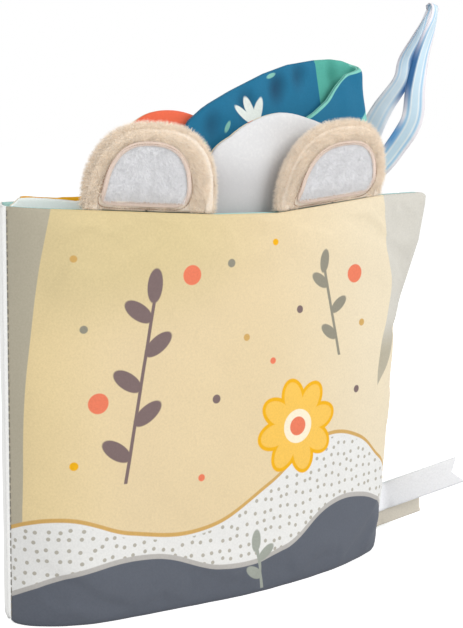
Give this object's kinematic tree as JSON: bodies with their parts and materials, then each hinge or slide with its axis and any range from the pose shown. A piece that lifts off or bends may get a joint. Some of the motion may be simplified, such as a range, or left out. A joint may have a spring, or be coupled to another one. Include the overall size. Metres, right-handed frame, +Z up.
{
  "type": "crinkle cloth book",
  "caption": "Padded crinkle cloth book with folding covers, shaped fabric leaves, stuffed plush ears, a satin ribbon loop and side labels.",
  "frame": {"origin": "middle of the bounding box, on the surface that the book stands on", "axes": "+X from the spine to the free edges, +Y from the front cover to the back cover, +Z up along the spine"},
  "size_m": [0.2494, 0.0582, 0.273],
  "materials": {
    "spine_cotton": "matt woven cotton",
    "teal_cotton": "matt woven cotton",
    "white_cotton": "matt woven cotton",
    "coral_cotton": "matt woven cotton",
    "cream_cotton": "matt woven cotton",
    "yellow_cotton": "matt woven cotton",
    "taupe_cotton": "matt woven cotton",
    "aqua_cotton": "matt woven cotton",
    "beige_plush": "long soft pile",
    "pale_plush": "short soft pile",
    "blue_satin": "satin ribbon",
    "label_satin": "smooth label tape",
    "label_tape": "woven label tape",
    "wadding": "polyester wadding",
    "crinkle_film": "thin crackling film"
  },
  "bodies": {
    "spine": {"spine_strip": "spine_cotton", "teal_leaf_front": "teal_cotton", "teal_leaf_rear": "teal_cotton", "teal_leaf_film": "crinkle_film"},
    "front_cover": {"front_cover_panel": "cream_cotton", "front_cover_wadding": "wadding", "front_cover_film": "crinkle_film", "front_cover_lining": "aqua_cotton"},
    "white_leaf": {"white_leaf_front": "white_cotton", "white_leaf_rear": "white_cotton", "white_leaf_film": "crinkle_film", "white_leaf_wadding": "wadding"},
    "coral_leaf": {"coral_leaf_front": "coral_cotton", "coral_leaf_rear": "cream_cotton", "coral_leaf_film": "crinkle_film"},
    "yellow_leaf": {"yellow_leaf_front": "yellow_cotton", "yellow_leaf_rear": "cream_cotton", "yellow_leaf_film": "crinkle_film"},
    "back_cover": {"back_cover_panel": "taupe_cotton", "back_cover_wadding": "wadding", "back_cover_film": "crinkle_film", "back_cover_lining": "aqua_cotton"},
    "left_ear": {"left_ear_front": "beige_plush", "left_ear_back": "beige_plush", "left_ear_filling": "wadding", "left_ear_patch": "pale_plush"},
    "right_ear": {"right_ear_front": "beige_plush", "right_ear_back": "beige_plush", "right_ear_filling": "wadding", "right_ear_patch": "pale_plush"},
    "ribbon_loop": {"ribbon_loop": "blue_satin"},
    "white_label": {"white_label": "label_satin"},
    "beige_label": {"beige_label": "label_tape"}
  },
  "joints": [
    {"name": "front_cover_hinge", "type": "hinge", "parent": "spine", "child": "front_cover", "pos_m": [-0.12489, 0.00313, 0.09], "axis": [0, 0, -1], "range_deg": [0, 170]},
    {"name": "white_leaf_hinge", "type": "hinge", "parent": "spine", "child": "white_leaf", "pos_m": [-0.12104, 0.0048, 0.09], "axis": [0, 0, -1], "range_deg": [0, 85]},
    {"name": "back_cover_hinge", "type": "hinge", "parent": "spine", "child": "back_cover", "pos_m": [-0.11659, 0.0233, 0.09], "axis": [0, 0, 1], "range_deg": [0, 120]},
    {"name": "yellow_leaf_hinge", "type": "hinge", "parent": "spine", "child": "yellow_leaf", "pos_m": [-0.11744, 0.0175, 0.09], "axis": [0, 0, 1], "range_deg": [0, 60]},
    {"name": "coral_leaf_hinge", "type": "hinge", "parent": "spine", "child": "coral_leaf", "pos_m": [-0.11864, 0.0139, 0.09], "axis": [0, 0, 1], "range_deg": [0, 30]},
    {"name": "left_ear_hinge", "type": "hinge", "parent": "front_cover", "child": "left_ear", "pos_m": [-0.06341, -0.01798, 0.17623], "axis": [0.9966, -0.0429, -0.0706], "range_deg": [0, 60], "stiffness_Nm_per_rad": 0.02},
    {"name": "right_ear_hinge", "type": "hinge", "parent": "front_cover", "child": "right_ear", "pos_m": [0.03386, -0.01655, 0.17597], "axis": [0.9942, 0.0622, 0.0872], "range_deg": [0, 60], "stiffness_Nm_per_rad": 0.02},
    {"name": "ribbon_loop_hinge", "type": "hinge", "parent": "back_cover", "child": "ribbon_loop", "pos_m": [0.08071, 0.0218, 0.1808], "axis": [1, 0, 0], "range_deg": [-20, 25], "stiffness_Nm_per_rad": 0.01},
    {"name": "white_label_hinge", "type": "hinge", "parent": "front_cover", "child": "white_label", "pos_m": [0.08326, 0.00993, 0.017], "axis": [0, 0, 1], "range_deg": [-45, 0], "stiffness_Nm_per_rad": 0.002},
    {"name": "beige_label_hinge", "type": "hinge", "parent": "front_cover", "child": "beige_label", "pos_m": [0.08152, 0.01117, 0.0075], "axis": [0, 0, 1], "range_deg": [0, 12], "stiffness_Nm_per_rad": 0.002}
  ],
  "couplings": [
    {"joint": "white_leaf_hinge", "follows": "front_cover_hinge", "ratio": 0.5},
    {"joint": "yellow_leaf_hinge", "follows": "back_cover_hinge", "ratio": 0.5},
    {"joint": "coral_leaf_hinge", "follows": "back_cover_hinge", "ratio": 0.25}
  ]
}
